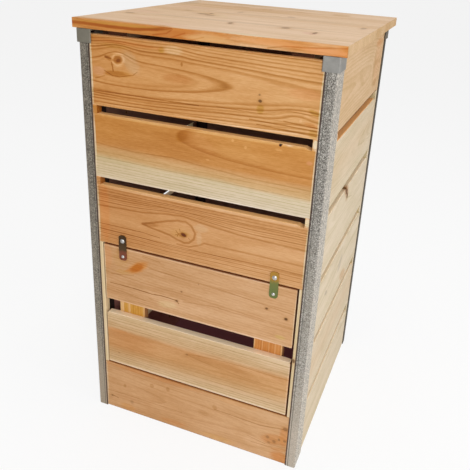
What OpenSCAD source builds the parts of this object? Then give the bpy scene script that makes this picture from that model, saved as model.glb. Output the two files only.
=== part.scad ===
// Wooden composter. Softwood boards, most of them slotted, stand in four folded steel corner posts.
// A tilting hatch low in the front lets finished compost out, and a hinged lid covers the top.
// X runs to the right, Y from the front to the back, Z up. The open bottom stands on the ground at z = 0.

/* [Body] */
// Width across the outer faces of the corner posts
body_w = 550; // [460:1:700]
// Depth across the outer faces of the corner posts
body_d = 558; // [460:1:700]

/* [Wall boards] */
// Height of a wall board with its raised ends, which is the pitch of the rows
board_h = 165; // [145:1:190]
// Thickness of every wall and hatch board
board_t = 18; // [16:0.5:24]
// Height of the air slot cut into a board's top edge
vent_gap = 18; // [6:0.5:24]
// Length of the raised end left beside each air slot of the front
front_land_l = 32; // [28:0.5:60]
// Length of the raised end left beside each air slot of the sides
side_land_l = 47; // [40:0.5:80]
// Height of the flat-topped boards of the top row
top_board_h = 148.5; // [120:0.5:165]
// Radius of the eased long edges of the boards
arris_r = 2; // [0.5:0.1:4]
// Radius of the curve in which a slot's floor runs down at its right end
runout_r = 29; // [15:1:60]
// Depth of that end below the slot's floor
runout_dip = 4.2; // [1:0.1:6]

/* [Corner posts] */
// Thickness of the folded sheet
sheet_t = 1.5; // [0.8:0.1:2.5]
// Width of a post's short leg, on the front at the front posts and on the sides at the back posts
post_short_leg = 25; // [20:0.5:40]
// Width of a post's long leg
post_long_leg = 55; // [40:0.5:80]
// Inner radius of the corner bend
bend_inner_r = 1.5; // [0.5:0.1:4]
// Play between a board's face and its channel, on each side
channel_play = 0.5; // [0.2:0.1:1.5]
// Play between a board's end and the bottom of its channel
end_play = 0.8; // [0.3:0.1:3]
// Height that the posts stand above the top boards
post_rise = 7; // [2:0.5:15]

/* [Post caps] */
// Width of a cap over the post's short leg
cap_w = 33.5; // [30:0.5:60]
// Length of a cap along the post's long leg
cap_d = 53; // [45:0.5:80]
// Overall height of a cap
cap_h = 28; // [15:0.5:50]
// Wall of a cap
cap_t = 3; // [1.5:0.1:5]
// Play between a cap and the post it sits on
cap_play = 0.3; // [0.1:0.1:1]
// Radius of a cap's upright corners
cap_corner_r = 2.5; // [0.5:0.1:5]

/* [Front stiles] */
// Width of the strips that carry the upper front boards beside the hatch
stile_w = 30; // [26:0.5:60]

/* [Hatch] */
// Height of the lower hatch board
hatch_lower_h = 151; // [120:1:180]
// Height of the open slot between the two hatch boards
hatch_vent = 40; // [10:0.5:60]
// Gap below the hatch
hatch_low_gap = 2.5; // [0.5:0.1:6]
// Gap above the hatch
hatch_top_gap = 3; // [1:0.1:6]
// Gap at each side of the hatch
hatch_side_gap = 3.5; // [1:0.1:8]
// Corner radius of the hatch boards beside the open slot
hatch_corner_r = 4.5; // [3:0.5:12]
// Width of the battens that join the hatch boards
hatch_batten_w = 70; // [40:1:110]
// Thickness of those battens
hatch_batten_t = 18; // [10:0.5:25]
// Distance of each batten's middle from the side edge of the hatch
hatch_batten_inset = 61; // [36:1:120]
// Length of batten that hooks down behind the bottom board
batten_lap = 33; // [10:1:60]
// Distance of the batten's upper end below the top of the hatch
batten_drop = 12; // [2:1:40]

/* [Turn plates] */
// Distance of each plate's middle from the side edge of the hatch
plate_inset = 52; // [45:1:110]
// Length of a plate
plate_l = 65; // [50:0.5:90]
// Width of a plate
plate_w = 19.5; // [16:0.5:30]
// Thickness of a plate
plate_t = 2; // [1:0.1:3]
// Corner radius of a plate
plate_corner_r = 7; // [1:0.5:8]
// Length of the plate below the top of the hatch
plate_drop = 33; // [24:0.5:60]
// Distance of the knob from the plate's upper end
knob_inset = 14.5; // [9:0.5:20]
// Radius of the knob
knob_r = 5.5; // [4:0.1:7]
// Radius of the pivot screw's head
pivot_head_r = 4; // [3.2:0.1:6]

/* [Lid] */
// Overhang of the lid at each side
lid_side_overhang = 13; // [0:1:40]
// Overhang of the lid at the front
lid_front_overhang = 2; // [0:0.5:40]
// Overhang of the lid at the back
lid_back_overhang = 50; // [20:1:60]
// Thickness of the lid boards
lid_t = 20; // [16:0.5:30]
// Open seam between two lid boards
lid_seam = 0.3; // [0.1:0.1:2]
// Length of the tongue between two lid boards
tongue_l = 6; // [3:0.5:10]
// Thickness of that tongue
tongue_t = 6; // [3:0.5:8]
// Play of the tongue in its groove
tongue_play = 0.2; // [0.1:0.1:0.6]
// Width of the battens under the lid
lid_batten_w = 45; // [30:1:60]
// Thickness of the battens under the lid
lid_batten_t = 18; // [12:0.5:25]
// Clear distance between a lid batten and the lugs of the back caps
lid_batten_side = 4; // [2:0.5:30]
// Clear distance between a lid batten's ends and the walls
lid_batten_end = 9; // [6:0.5:30]

/* [Lid hinges] */
// Clear distance between a hinge and the lid batten
hinge_inset = 6; // [2:0.5:60]
// Width of a hinge
hinge_w = 60; // [40:1:80]
// Length of a leaf from the pin
leaf_l = 38; // [30:1:50]
// Thickness of a leaf
leaf_t = 2; // [1.5:0.1:2.5]
// Outer radius of the knuckles
barrel_r = 3.5; // [3.2:0.1:5]
// Radius of the pin
pin_r = 2; // [1.2:0.1:2.2]

/* [Fasteners and fits] */
// Radius of a screw's shank
screw_r = 2; // [1.5:0.1:2.5]
// Radius of a wood screw's pan head
screw_head_r = 4.2; // [3.5:0.1:6]
// Height of a pan head
screw_head_h = 2.4; // [1:0.1:4]
// Depth that a screw bites into the board beyond its batten or leaf
screw_bite = 12; // [8:0.5:14]
// Radial clearance of every shank, rivet and pin in its hole
fit = 0.05; // [0.02:0.01:0.1]
// Gap between a moving piece and what it rests on
rest_gap = 0.3; // [0.1:0.05:0.6]

/* [Hidden] */
$fn = 48;
rows = 6;
// Rows of the front below its third board
low_rows = 3;
lid_boards = 4;

// Colours
front_wood = [0.84, 0.60, 0.35];
side_wood = [0.86, 0.71, 0.52];
lid_wood = [0.83, 0.69, 0.52];
galvanised = [0.62, 0.63, 0.62];
cap_plastic = [0.42, 0.44, 0.45];
yellow_zinc = [0.55, 0.50, 0.30];
bright_zinc = [0.75, 0.76, 0.77];

// Walls: how boards, channels and rows follow from each other
over = 1;
face_in = sheet_t + channel_play;
channel = board_t + 2 * channel_play;
partition_v = sheet_t + channel;
corner_end = sheet_t + end_play;
partition_end = partition_v + sheet_t + end_play;
front_l = body_w - 2 * corner_end;
back_l = body_w - 2 * partition_end;
side_l = body_d - corner_end - partition_end;
side_shift = (partition_end - corner_end) / 2;
slot_floor = board_h - vent_gap;
wall_top = (rows - 1) * board_h + top_board_h;
post_h = wall_top + post_rise;
front_face = -body_d / 2 + face_in;
front_inner = front_face + board_t;
back_face = -front_face;
back_inner = -front_inner;
side_inner = body_w / 2 - face_in - board_t;

// Hatch, which closes the second and third rows of the front
hatch_w = front_l - 2 * (stile_w + hatch_side_gap);
hatch_z = slot_floor + hatch_low_gap;
hatch_top = low_rows * board_h - hatch_top_gap;
hatch_upper_z = hatch_z + hatch_lower_h + hatch_vent;
hatch_upper_h = hatch_top - hatch_upper_z;
hatch_batten_z = hatch_z - batten_lap;
hatch_batten_l = hatch_top - batten_drop - hatch_batten_z;
hatch_batten_x = hatch_w / 2 - hatch_batten_inset;
hatch_screw_inset = 30;
plate_x = hatch_w / 2 - plate_inset;
plate_z = hatch_top - plate_drop;
pivot_z = plate_z + plate_w / 2;
knob_z = plate_z + plate_l - knob_inset;
plate_back = front_face - rest_gap;
plate_front = plate_back - plate_t;

// Lid and its hinges
lid_z = post_h + cap_t + rest_gap;
lid_w = body_w + 2 * lid_side_overhang;
lid_front = -body_d / 2 - lid_front_overhang;
lid_back = body_d / 2 + lid_back_overhang;
lid_board_w = (lid_back - lid_front) / lid_boards;
cap_reach = cap_play + cap_t;
lid_batten_x = body_w / 2 + cap_reach - cap_d - lid_batten_side - lid_batten_w / 2;
lid_batten_front = front_inner + lid_batten_end;
lid_batten_back = back_inner - lid_batten_end;
lid_screw_inset = 18;
hinge_x = lid_batten_x - lid_batten_w / 2 - hinge_inset - hinge_w / 2;
hinge_y = back_face + barrel_r + rest_gap;
hinge_z = lid_z - barrel_r - rest_gap;
knuckle_l = (hinge_w - 2 * rest_gap) / 3;
knuckle_clear = 0.6;
leaf_screw_r = screw_r - 0.3;
leaf_cone_play = 0.1;

// The origin is the middle of the overall plan, from the caps, the lid and the plates' knobs
front_reach = min(-body_d / 2 - cap_reach, lid_front, plate_front - fit - screw_head_h);
plan_shift = -(front_reach + lid_back) / 2;

module part(shade) { color(shade) translate([0, plan_shift, 0]) children(); }

// Outline of a board's end, with eased corners: x is the thickness, y the height
module eased(t, h, r) {
    translate([r, 0]) square([t - 2 * r, h]);
    translate([0, r]) square([t, h - 2 * r]);
    for (x = [r, t - r], y = [r, h - r]) translate([x, y]) circle(r);
}

// Outline seen from the front, with its own radii at the bottom and the top
module face_outline(w, h, r_low, r_high) {
    translate([-w / 2, r_low]) square([w, h - r_low - r_high]);
    translate([-w / 2 + r_low, 0]) square([w - 2 * r_low, h / 2]);
    translate([-w / 2 + r_high, h / 2]) square([w - 2 * r_high, h / 2]);
    for (s = [-1, 1]) {
        translate([s * (w / 2 - r_low), r_low]) circle(r_low);
        translate([s * (w / 2 - r_high), h - r_high]) circle(r_high);
    }
}

// A bar along X with its outer face at y = 0 and its underside at z = 0
module bar(l, t, h, r = arris_r) {
    rotate([90, 0, 90]) linear_extrude(l, center = true) eased(t, h, r);
}

// A wall board with raised ends and an air slot, whose floor runs down in a curve at its right end
module slotted_board(l, land) {
    difference() {
        union() {
            bar(l, board_t, slot_floor);
            for (s = [-1, 1]) translate([s * (l - land) / 2, 0, 0]) bar(land, board_t, board_h);
        }
        translate([l / 2 - land, -over, slot_floor - runout_dip]) intersection() {
            translate([0, 0, runout_r]) rotate([-90, 0, 0]) cylinder(r = runout_r, h = board_t + 2 * over);
            translate([-runout_r, 0, 0]) cube([runout_r, board_t + 2 * over, runout_dip + vent_gap / 2]);
        }
    }
}

// A board at its row's height: flat-topped in the top row
module row_board(l, row, land) {
    translate([0, 0, row * board_h])
        if (row == rows - 1) bar(l, board_t, top_board_h);
        else slotted_board(l, land);
}

// Walls, each with its outer face towards the outside. The side boards run right into the back corners,
// and at the front they end behind the posts' partitions.
module front_wall() { translate([0, front_face, 0]) children(); }
module right_wall() { rotate([0, 0, 90]) translate([side_shift, -body_w / 2 + face_in, 0]) children(); }
module back_wall() { rotate([0, 0, 180]) translate([0, front_face, 0]) children(); }
module left_wall() { rotate([0, 0, -90]) translate([-side_shift, -body_w / 2 + face_in, 0]) children(); }

module front_board_bottom() { part(front_wood) front_wall() bar(front_l, board_t, slot_floor); }
module front_board(row) { part(front_wood) front_wall() row_board(front_l, row, front_land_l); }
module right_board(row) { part(side_wood) right_wall() row_board(side_l, row, side_land_l); }
module left_board(row) { part(side_wood) left_wall() row_board(side_l, row, side_land_l); }

// The back wall is closed: its boards have no air slots
module back_board(row) {
    part(side_wood) difference() {
        back_wall() translate([0, 0, row * board_h])
            bar(back_l, board_t, row == rows - 1 ? top_board_h : board_h);
        if (row == rows - 1)
            for (s = [-1, 1]) wall_leaf_holes(s) translate([0, 0, -screw_bite - over])
                cylinder(r = leaf_screw_r + fit, h = screw_bite + 2 * over);
    }
}

// Corner posts: x runs in along the short leg, y along the long leg
module lipped_web(l) {
    square([l - sheet_t / 2, sheet_t]);
    translate([l - sheet_t / 2, sheet_t / 2]) circle(sheet_t / 2);
}

module post_outline() {
    bend_r = bend_inner_r + sheet_t;
    intersection() {
        square(bend_r);
        translate([bend_r, bend_r]) difference() {
            circle(bend_r);
            circle(bend_inner_r);
        }
    }
    translate([bend_r, 0]) lipped_web(post_short_leg - bend_r);
    translate([sheet_t, bend_r]) rotate(90) lipped_web(post_long_leg - bend_r);
    translate([sheet_t / 2, partition_v]) lipped_web(post_short_leg - sheet_t / 2);
    translate([partition_v + sheet_t, partition_v + sheet_t / 2])
        rotate(90) lipped_web(post_long_leg - partition_v - sheet_t / 2);
}

// Puts a corner piece, drawn inwards from the outer corner, at one of the four corners. The long leg lies on
// the side at the front corners and on the back at the back ones.
module at_corner(sx, sy) {
    translate([sx * body_w / 2, sy * body_d / 2, 0])
        mirror([sx > 0 ? 1 : 0, 0, 0]) mirror([0, sy > 0 ? 1 : 0, 0])
            mirror(sy > 0 ? [1, -1, 0] : [0, 0, 0]) children();
}

module post(sx, sy) { part(galvanised) at_corner(sx, sy) linear_extrude(post_h) post_outline(); }

module rounded_plate(w, d, r) {
    translate([r, 0]) square([w - 2 * r, d]);
    translate([0, r]) square([w, d - 2 * r]);
    for (x = [r, w - r], y = [r, d - r]) translate([x, y]) circle(r);
}

// A cap: a top plate, skirts on the two outer faces and a lug inside the post's inner leaf
module cap(sx, sy) {
    lug_u = partition_v + sheet_t + cap_play;
    part(cap_plastic) at_corner(sx, sy) {
        difference() {
            translate([-cap_reach, -cap_reach, post_h + cap_t - cap_h])
                linear_extrude(cap_h) rounded_plate(cap_w, cap_d, cap_corner_r);
            translate([-cap_play, -cap_play, post_h - cap_h]) cube([cap_w + over, cap_d + over, cap_h]);
        }
        translate([lug_u, lug_u, post_h + cap_t - cap_h])
            cube([cap_t, cap_d - cap_reach - lug_u, cap_h - cap_t]);
    }
}

// The strips that stand in the front channels between the bottom board and the third one
module stile(s) {
    part(front_wood) translate([s * (front_l - stile_w) / 2 - stile_w / 2, front_face, slot_floor])
        linear_extrude(low_rows * board_h - slot_floor) eased(stile_w, board_t, arris_r);
}

// Hatch
module hatch_board(h, r_low, r_high) {
    intersection() {
        bar(hatch_w, board_t, h);
        rotate([90, 0, 0]) translate([0, 0, -board_t - over])
            linear_extrude(board_t + 2 * over) face_outline(hatch_w, h, r_low, r_high);
    }
}

// Heights of the two screws that hold a hatch board, from its underside
function hatch_screw_heights(h) = [hatch_screw_inset, h - hatch_screw_inset];
hatch_screw_z = [
    for (z = hatch_screw_heights(hatch_lower_h)) hatch_z + z,
    for (z = hatch_screw_heights(hatch_upper_h - batten_drop)) hatch_upper_z + z
];

module hatch_screw_places() {
    for (s = [-1, 1], z = hatch_screw_z)
        translate([s * hatch_batten_x, front_inner + hatch_batten_t, z]) rotate([90, 0, 0]) children();
}

module hatch_screw_holes() {
    hatch_screw_places() translate([0, 0, -over])
        cylinder(r = screw_r + fit, h = hatch_batten_t + screw_bite + over);
}

module plate_pivot_hole(s) {
    translate([s * plate_x, front_face - over, pivot_z]) rotate([-90, 0, 0])
        cylinder(r = screw_r + fit, h = screw_bite + over);
}

module hatch_board_lower() {
    part(front_wood) difference() {
        translate([0, front_face, hatch_z]) hatch_board(hatch_lower_h, arris_r, hatch_corner_r);
        hatch_screw_holes();
    }
}

module hatch_board_upper() {
    part(front_wood) difference() {
        translate([0, front_face, hatch_upper_z]) hatch_board(hatch_upper_h, hatch_corner_r, arris_r);
        hatch_screw_holes();
        for (s = [-1, 1]) plate_pivot_hole(s);
    }
}

module hatch_batten(s) {
    part(front_wood) difference() {
        translate([s * hatch_batten_x - hatch_batten_w / 2, front_inner, hatch_batten_z])
            linear_extrude(hatch_batten_l) eased(hatch_batten_w, hatch_batten_t, arris_r);
        hatch_screw_holes();
    }
}

// A domed head with its flat side at z = 0, below it
module dome_head(r, h) {
    cap_r = (r * r + h * h) / (2 * h);
    rotate_extrude() intersection() {
        translate([0, cap_r - h]) circle(cap_r);
        translate([0, -h]) square([r, h]);
    }
}

module pan_screw(l) {
    dome_head(screw_head_r, screw_head_h);
    cylinder(r = screw_r, h = l);
}

module hatch_screws() {
    part(bright_zinc) hatch_screw_places() pan_screw(hatch_batten_t + screw_bite - fit);
}

// Turn plates: each turns on the lower screw and laps the front of the board above the hatch
module plate_pivot(s) {
    part(bright_zinc) translate([s * plate_x, plate_front - fit, pivot_z]) rotate([-90, 0, 0]) {
        dome_head(pivot_head_r, screw_head_h);
        cylinder(r = screw_r, h = plate_t + rest_gap + screw_bite);
    }
}

module turn_plate(s) {
    part(yellow_zinc) difference() {
        translate([s * plate_x - plate_w / 2, plate_back, plate_z]) rotate([90, 0, 0])
            linear_extrude(plate_t) rounded_plate(plate_w, plate_l, plate_corner_r);
        for (z = [pivot_z, knob_z]) translate([s * plate_x, plate_front - over, z]) rotate([-90, 0, 0])
            cylinder(r = screw_r + fit, h = plate_t + 2 * over);
    }
}

module plate_knob(s) {
    part(bright_zinc) translate([s * plate_x, plate_front, knob_z]) rotate([-90, 0, 0]) {
        dome_head(knob_r, screw_head_h);
        cylinder(r = screw_r, h = plate_t);
    }
}

// Lid boards, numbered from the front, each with a tongue towards the front
module lid_board_outline(i) {
    start = i == 0 ? 0 : lid_seam;
    groove_t = tongue_t + 2 * tongue_play;
    difference() {
        union() {
            translate([start, 0]) eased(lid_board_w - start, lid_t, arris_r / 2);
            if (i > 0) translate([lid_seam - tongue_l, (lid_t - tongue_t) / 2])
                square([tongue_l + lid_t / 2, tongue_t]);
        }
        if (i < lid_boards - 1) translate([lid_board_w - tongue_l - tongue_play, (lid_t - groove_t) / 2])
            square([tongue_l + tongue_play + over, groove_t]);
    }
}

// Front and back screw of each lid board, kept inside the batten's length
lid_screw_y = [
    for (i = [0 : lid_boards - 1])
        each [
            max(lid_front + i * lid_board_w, lid_batten_front) + lid_screw_inset,
            min(lid_front + (i + 1) * lid_board_w, lid_batten_back) - lid_screw_inset
        ]
];

module lid_screw_places() {
    for (s = [-1, 1], y = lid_screw_y) translate([s * lid_batten_x, y, lid_z - lid_batten_t]) children();
}

module lid_screw_holes() {
    lid_screw_places() translate([0, 0, -over])
        cylinder(r = screw_r + fit, h = lid_batten_t + screw_bite + over);
}

module lid_board(i) {
    part(lid_wood) difference() {
        translate([0, lid_front + i * lid_board_w, lid_z])
            rotate([90, 0, 90]) linear_extrude(lid_w, center = true) lid_board_outline(i);
        lid_screw_holes();
        if (i == lid_boards - 1)
            for (s = [-1, 1]) lid_leaf_holes(s) translate([0, 0, -screw_bite - over])
                cylinder(r = leaf_screw_r + fit, h = screw_bite + 2 * over);
    }
}

module lid_batten(s) {
    part(lid_wood) difference() {
        translate([s * lid_batten_x - lid_batten_w / 2, lid_batten_front, lid_z - lid_batten_t])
            rotate([90, 0, 0]) mirror([0, 0, 1]) linear_extrude(lid_batten_back - lid_batten_front)
                eased(lid_batten_w, lid_batten_t, arris_r / 2);
        lid_screw_holes();
    }
}

module lid_screws() {
    part(bright_zinc) lid_screw_places() pan_screw(lid_batten_t + screw_bite - fit);
}

// Hinges: a leaf is drawn flat, with its wood side at z = 0, its pin along X at y = 0 and its end at -leaf_l
leaf_screws = [[-hinge_w / 3, -leaf_l * 0.4], [hinge_w / 3, -leaf_l * 0.4], [0, -leaf_l * 0.78]];
module leaf_holes() { for (p = leaf_screws) translate([p.x, p.y, 0]) children(); }

module leaf_blank() {
    corner_r = 3;
    linear_extrude(leaf_t) {
        translate([-hinge_w / 2, -leaf_l + corner_r]) square([hinge_w, leaf_l - corner_r]);
        translate([-hinge_w / 2 + corner_r, -leaf_l]) square([hinge_w - 2 * corner_r, corner_r]);
        for (s = [-1, 1]) translate([s * (hinge_w / 2 - corner_r), -leaf_l + corner_r]) circle(corner_r);
    }
}

// Keeps the leaf and the knuckles only where this leaf has them: the middle one, or the two outer ones
module knuckled_leaf(middle) {
    pin_up = barrel_r + rest_gap;
    side_cut = barrel_r + knuckle_clear;
    spans = middle ? [[-knuckle_l / 2, knuckle_l / 2]]
        : [[-hinge_w / 2, -knuckle_l / 2 - rest_gap], [knuckle_l / 2 + rest_gap, hinge_w / 2]];
    cuts = middle ? [[-hinge_w / 2 - over, -knuckle_l / 2], [knuckle_l / 2, hinge_w / 2 + over]]
        : [[-knuckle_l / 2 - rest_gap, knuckle_l / 2 + rest_gap]];
    hole_r = leaf_screw_r + leaf_cone_play;
    difference() {
        union() {
            difference() {
                leaf_blank();
                for (c = cuts) translate([c[0], -side_cut, -over])
                    cube([c[1] - c[0], side_cut + over, leaf_t + 2 * over]);
            }
            for (c = spans) translate([c[0], 0, pin_up]) rotate([0, 90, 0])
                cylinder(r = barrel_r, h = c[1] - c[0]);
        }
        translate([-hinge_w / 2 - over, 0, pin_up]) rotate([0, 90, 0])
            cylinder(r = pin_r + fit, h = hinge_w + 2 * over);
        leaf_holes() {
            translate([0, 0, -over]) cylinder(r = hole_r, h = 2 * over);
            cylinder(r1 = hole_r, r2 = hole_r + leaf_t + over, h = leaf_t + over);
        }
    }
}

// The wall leaf hangs down the back wall, and the lid leaf runs forward under the lid
module wall_leaf_place(s) { translate([s * hinge_x, back_face, hinge_z]) rotate([90, 0, 180]) children(); }
module lid_leaf_place(s) { translate([s * hinge_x, hinge_y, lid_z]) mirror([0, 0, 1]) children(); }
module wall_leaf_holes(s) { wall_leaf_place(s) leaf_holes() children(); }
module lid_leaf_holes(s) { lid_leaf_place(s) leaf_holes() children(); }

module hinge_wall_leaf(s) { part(bright_zinc) wall_leaf_place(s) knuckled_leaf(false); }
module hinge_lid_leaf(s) { part(bright_zinc) lid_leaf_place(s) knuckled_leaf(true); }

// Pins with riveted ends
module hinge_pins() {
    rivet_r = (pin_r + barrel_r) / 2;
    part(bright_zinc) for (s = [-1, 1]) translate([s * hinge_x, hinge_y, hinge_z]) rotate([0, 90, 0]) {
        translate([0, 0, -hinge_w / 2 - fit]) cylinder(r = pin_r, h = hinge_w + 2 * fit);
        translate([0, 0, -hinge_w / 2 - fit]) dome_head(rivet_r, pin_r / 2);
        translate([0, 0, hinge_w / 2 + fit]) mirror([0, 0, 1]) dome_head(rivet_r, pin_r / 2);
    }
}

// Countersunk screws, flush with the leaf's outer side
module leaf_screw() {
    translate([0, 0, -screw_bite]) cylinder(r = leaf_screw_r, h = screw_bite + leaf_t / 2);
    cylinder(r1 = leaf_screw_r, r2 = leaf_screw_r + leaf_t, h = leaf_t);
}
module hinge_wall_screws() { part(bright_zinc) for (s = [-1, 1]) wall_leaf_holes(s) leaf_screw(); }
module hinge_lid_screws() { part(bright_zinc) for (s = [-1, 1]) lid_leaf_holes(s) leaf_screw(); }

front_board_bottom();
front_board(3);  // front_board_third
front_board(4);  // front_board_second
front_board(5);  // front_board_top
right_board(0);  // right_board_1
right_board(1);  // right_board_2
right_board(2);  // right_board_3
right_board(3);  // right_board_4
right_board(4);  // right_board_5
right_board(5);  // right_board_6
back_board(0);  // back_board_1
back_board(1);  // back_board_2
back_board(2);  // back_board_3
back_board(3);  // back_board_4
back_board(4);  // back_board_5
back_board(5);  // back_board_6
left_board(0);  // left_board_1
left_board(1);  // left_board_2
left_board(2);  // left_board_3
left_board(3);  // left_board_4
left_board(4);  // left_board_5
left_board(5);  // left_board_6
post(-1, -1);  // post_front_left
post(1, -1);  // post_front_right
post(-1, 1);  // post_back_left
post(1, 1);  // post_back_right
cap(-1, -1);  // cap_front_left
cap(1, -1);  // cap_front_right
cap(-1, 1);  // cap_back_left
cap(1, 1);  // cap_back_right
stile(-1);  // stile_left
stile(1);  // stile_right
hatch_board_lower();
hatch_board_upper();
hatch_batten(-1);  // hatch_batten_left
hatch_batten(1);  // hatch_batten_right
hatch_screws();
plate_pivot(-1);  // plate_pivot_left
plate_pivot(1);  // plate_pivot_right
turn_plate(-1);  // turn_plate_left
turn_plate(1);  // turn_plate_right
plate_knob(-1);  // plate_knob_left
plate_knob(1);  // plate_knob_right
lid_board(0);  // lid_board_1
lid_board(1);  // lid_board_2
lid_board(2);  // lid_board_3
lid_board(3);  // lid_board_4
lid_batten(-1);  // lid_batten_left
lid_batten(1);  // lid_batten_right
lid_screws();
hinge_wall_leaf(-1);  // hinge_wall_leaf_left
hinge_wall_leaf(1);  // hinge_wall_leaf_right
hinge_lid_leaf(-1);  // hinge_lid_leaf_left
hinge_lid_leaf(1);  // hinge_lid_leaf_right
hinge_pins();
hinge_wall_screws();
hinge_lid_screws();
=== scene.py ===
import math
import random

import bpy
from mathutils import Matrix, Vector


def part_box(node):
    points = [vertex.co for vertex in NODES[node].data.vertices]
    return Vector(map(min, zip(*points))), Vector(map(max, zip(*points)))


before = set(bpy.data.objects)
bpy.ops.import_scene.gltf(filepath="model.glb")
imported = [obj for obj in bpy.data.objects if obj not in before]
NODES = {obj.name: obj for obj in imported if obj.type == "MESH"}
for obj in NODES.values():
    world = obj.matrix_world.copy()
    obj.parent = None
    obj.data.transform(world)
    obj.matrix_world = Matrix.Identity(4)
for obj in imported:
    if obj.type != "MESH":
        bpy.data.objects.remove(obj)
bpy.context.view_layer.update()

MM = 0.001

# Camera, fitted to the corners of the boards and posts
CAMERA_PLACE = (0.49261, -1.34791, 1.15402)
CAMERA_TURN = 19.654
CAMERA_DOWN = 22.967
CAMERA_ROLL = 3.27
CAMERA_LENS = 45.042
CAMERA_SHIFT = (-0.02991, -0.08091)

# Which axis of the object runs along the grain, across the board and into it
FRONT_GRAIN = ("X", "Z", "Y")
SIDE_GRAIN = ("Y", "Z", "X")
LID_GRAIN = ("X", "Y", "Z")
UPRIGHT_GRAIN = ("Z", "X", "Y")
LID_BATTEN_GRAIN = ("Y", "X", "Z")


def srgb(red, green, blue):
    """A colour from its screen values of 0 to 255."""
    levels = (value / 255 for value in (red, green, blue))
    return tuple(level / 12.92 if level < 0.04 else ((level + 0.055) / 1.055) ** 2.4 for level in levels)


# Wood colours
KNOT_BROWN = srgb(92, 54, 16)
KNOT_HALO = srgb(178, 122, 62)
RESIN_ORANGE = srgb(200, 126, 52)
RESIN_YELLOW = srgb(194, 142, 58)
FIBRE_PALE = srgb(226, 194, 150)
CREAM = srgb(232, 212, 178)
# Painted shade for faces inside the bin and under the lid
INSIDE_PAINTED_SHADE = srgb(138, 86, 68)
GAP_SHADOW = srgb(62, 28, 12)
# Painted light: a pale colour for slot floors and undersides that lie in shade
SLOT_PAINTED_LIGHT = srgb(255, 204, 138)
# What multiplies the colour of the palest and of the darkest grain, and the changes where that holds
EARLY_LIFT = (1.07, 1.04, 1.08)
LATE_DIM = (0.58, 0.76, 0.5)
PALEST, DARKEST = 0.5, 2.5


def rgba(colour):
    return (*colour, 1)


# Shader building blocks


def add_node(tree, kind, inputs=None, **settings):
    """A node with its settings, and each input set to a value or joined to another node's output."""
    node = tree.nodes.new(kind)
    for name, value in settings.items():
        setattr(node, name, value)
    for name, value in (inputs or {}).items():
        if isinstance(value, bpy.types.NodeSocket):
            tree.links.new(value, node.inputs[name])
        else:
            node.inputs[name].default_value = value
    return node


def calc(tree, operation, *terms):
    node = add_node(tree, "ShaderNodeMath", dict(enumerate(terms)), operation=operation)
    return node.outputs[0]


def ramp(tree, value, low, high, to_low=0, to_high=1):
    """The value eased from one range to another."""
    inputs = {"Value": value, "From Min": low, "From Max": high, "To Min": to_low, "To Max": to_high}
    return add_node(tree, "ShaderNodeMapRange", inputs, interpolation_type="SMOOTHSTEP").outputs[0]


def stops(tree, value, reach, points):
    """A colour ramp over 0 to reach, from (place, colour or level) points."""
    node = add_node(tree, "ShaderNodeValToRGB", {0: calc(tree, "DIVIDE", value, reach)})
    elements = node.color_ramp.elements
    while len(elements) > 1:
        elements.remove(elements[-1])
    for number, (place, level) in enumerate(points):
        element = elements[0] if number == 0 else elements.new(min(place / reach, 1))
        element.position = min(place / reach, 1)
        element.color = rgba(level if isinstance(level, tuple) else (level,) * 3)
    return node.outputs[0]


def blend(tree, factor, first, second, mode="MIX"):
    """Two colours mixed by a factor."""
    sockets = {0: factor, 6: first, 7: second}
    inputs = {key: rgba(value) if isinstance(value, tuple) and len(value) == 3 else value
              for key, value in sockets.items()}
    return add_node(tree, "ShaderNodeMix", inputs, data_type="RGBA", blend_type=mode).outputs[2]


def times(tree, first, *others):
    """The product of the terms."""
    for other in others:
        first = calc(tree, "MULTIPLY", first, other)
    return first


def minus(tree, first, second):
    return calc(tree, "SUBTRACT", first, second)


def square_sum(tree, first, second):
    return calc(tree, "ADD", calc(tree, "POWER", first, 2), calc(tree, "POWER", second, 2))


def vector_math(tree, operation, *terms, give=0):
    """A vector made from vectors, or a number with give="Value"."""
    node = add_node(tree, "ShaderNodeVectorMath", dict(enumerate(terms)), operation=operation)
    return node.outputs[give]


def scale_vector(tree, vector, factor):
    inputs = {0: vector, "Scale": factor}
    return add_node(tree, "ShaderNodeVectorMath", inputs, operation="SCALE").outputs[0]


def stretched_noise(tree, point, lengths, seed=0, detail=2, roughness=0.5):
    """Soft noise whose blotches have these lengths along the point's three axes."""
    scaled = vector_math(tree, "MULTIPLY", point, tuple(1 / length for length in lengths))
    shifted = vector_math(tree, "ADD", scaled, (seed, seed * 1.7, seed * 2.3))
    inputs = {"Vector": shifted, "Scale": 1, "Detail": detail, "Roughness": roughness}
    return add_node(tree, "ShaderNodeTexNoise", inputs).outputs[0]


def split(tree, vector):
    return add_node(tree, "ShaderNodeSeparateXYZ", {0: vector}).outputs


def new_group(name, inputs, outputs):
    """An empty node group with these sockets, as (group, its inputs inside, its outputs inside)."""
    group = bpy.data.node_groups.new(name, "ShaderNodeTree")
    for title, kind in inputs.items():
        group.interface.new_socket(title, in_out="INPUT", socket_type="NodeSocket" + kind)
    for title, kind in outputs.items():
        group.interface.new_socket(title, in_out="OUTPUT", socket_type="NodeSocket" + kind)
    return group, group.nodes.new("NodeGroupInput").outputs, group.nodes.new("NodeGroupOutput").inputs


def use_group(tree, group, inputs):
    return add_node(tree, "ShaderNodeGroup", inputs, node_tree=group).outputs


def floats(*titles):
    return {title: "Float" for title in titles}


# Shared effects


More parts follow.
